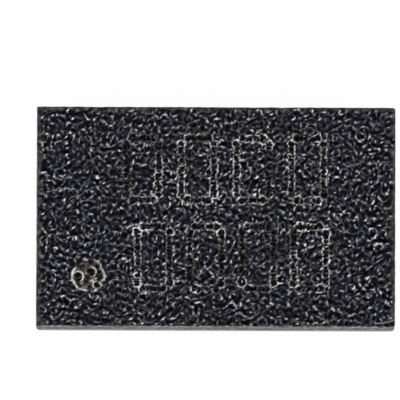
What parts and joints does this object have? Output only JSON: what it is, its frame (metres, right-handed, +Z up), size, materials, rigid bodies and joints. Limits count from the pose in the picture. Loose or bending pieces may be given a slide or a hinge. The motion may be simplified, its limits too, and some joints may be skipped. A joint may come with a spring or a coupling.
{
  "type": "integrated circuit package",
  "caption": "Rectangular moulded chip package with a flat black top, a thin green laminate base and a grid of solder balls below.",
  "frame": {"origin": "centre of the package outline, on the plane that the solder balls stand on", "axes": "+X along the long side, +Y along the short side, +Z up out of the moulded top; ball a1 and the index mark are at the -X -Y corner"},
  "size_m": [0.0038, 0.0022, 0.0009],
  "materials": {
    "mould_compound": "satin, rough moulded top and sawn sides",
    "silicon": "polished",
    "aluminium_pad": "satin",
    "attach_film": "matt",
    "solder_mask": "semi-gloss, translucent over the copper",
    "laminate": "cut glass cloth and resin",
    "resin_plug": "matt",
    "copper": "etched copper",
    "gold_plating": "gold plated copper",
    "gold_wire": "drawn gold",
    "solder": "reflowed tin alloy"
  },
  "bodies": {
    "root": {"mold_cap": "mould_compound", "die": "silicon", "bond_pads": "aluminium_pad", "die_attach_film": "attach_film", "top_solder_mask": "solder_mask", "bond_fingers": "gold_plating", "laminate_core": "laminate", "via_barrels": "copper", "via_plugs": "resin_plug", "ball_pads": "copper", "bottom_solder_mask": "solder_mask", "solder_ball_a1": "solder", "solder_ball_a2": "solder", "solder_ball_a3": "solder", "solder_ball_b1": "solder", "solder_ball_b2": "solder", "solder_ball_b3": "solder", "solder_ball_c1": "solder", "solder_ball_c2": "solder", "solder_ball_c3": "solder", "solder_ball_d1": "solder", "solder_ball_d2": "solder", "solder_ball_d3": "solder", "solder_ball_e1": "solder", "solder_ball_e2": "solder", "solder_ball_e3": "solder", "solder_ball_f1": "solder", "solder_ball_f2": "solder", "solder_ball_f3": "solder", "solder_ball_g1": "solder", "solder_ball_g2": "solder", "solder_ball_g3": "solder", "bond_wire_a1": "gold_wire", "bond_wire_a2": "gold_wire", "bond_wire_a3": "gold_wire", "bond_wire_b1": "gold_wire", "bond_wire_b2": "gold_wire", "bond_wire_b3": "gold_wire", "bond_wire_c1": "gold_wire", "bond_wire_c2": "gold_wire", "bond_wire_c3": "gold_wire", "bond_wire_d1": "gold_wire", "bond_wire_d2": "gold_wire", "bond_wire_d3": "gold_wire", "bond_wire_e1": "gold_wire", "bond_wire_e2": "gold_wire", "bond_wire_e3": "gold_wire", "bond_wire_f1": "gold_wire", "bond_wire_f2": "gold_wire", "bond_wire_f3": "gold_wire", "bond_wire_g1": "gold_wire", "bond_wire_g2": "gold_wire", "bond_wire_g3": "gold_wire"}
  },
  "joints": []
}
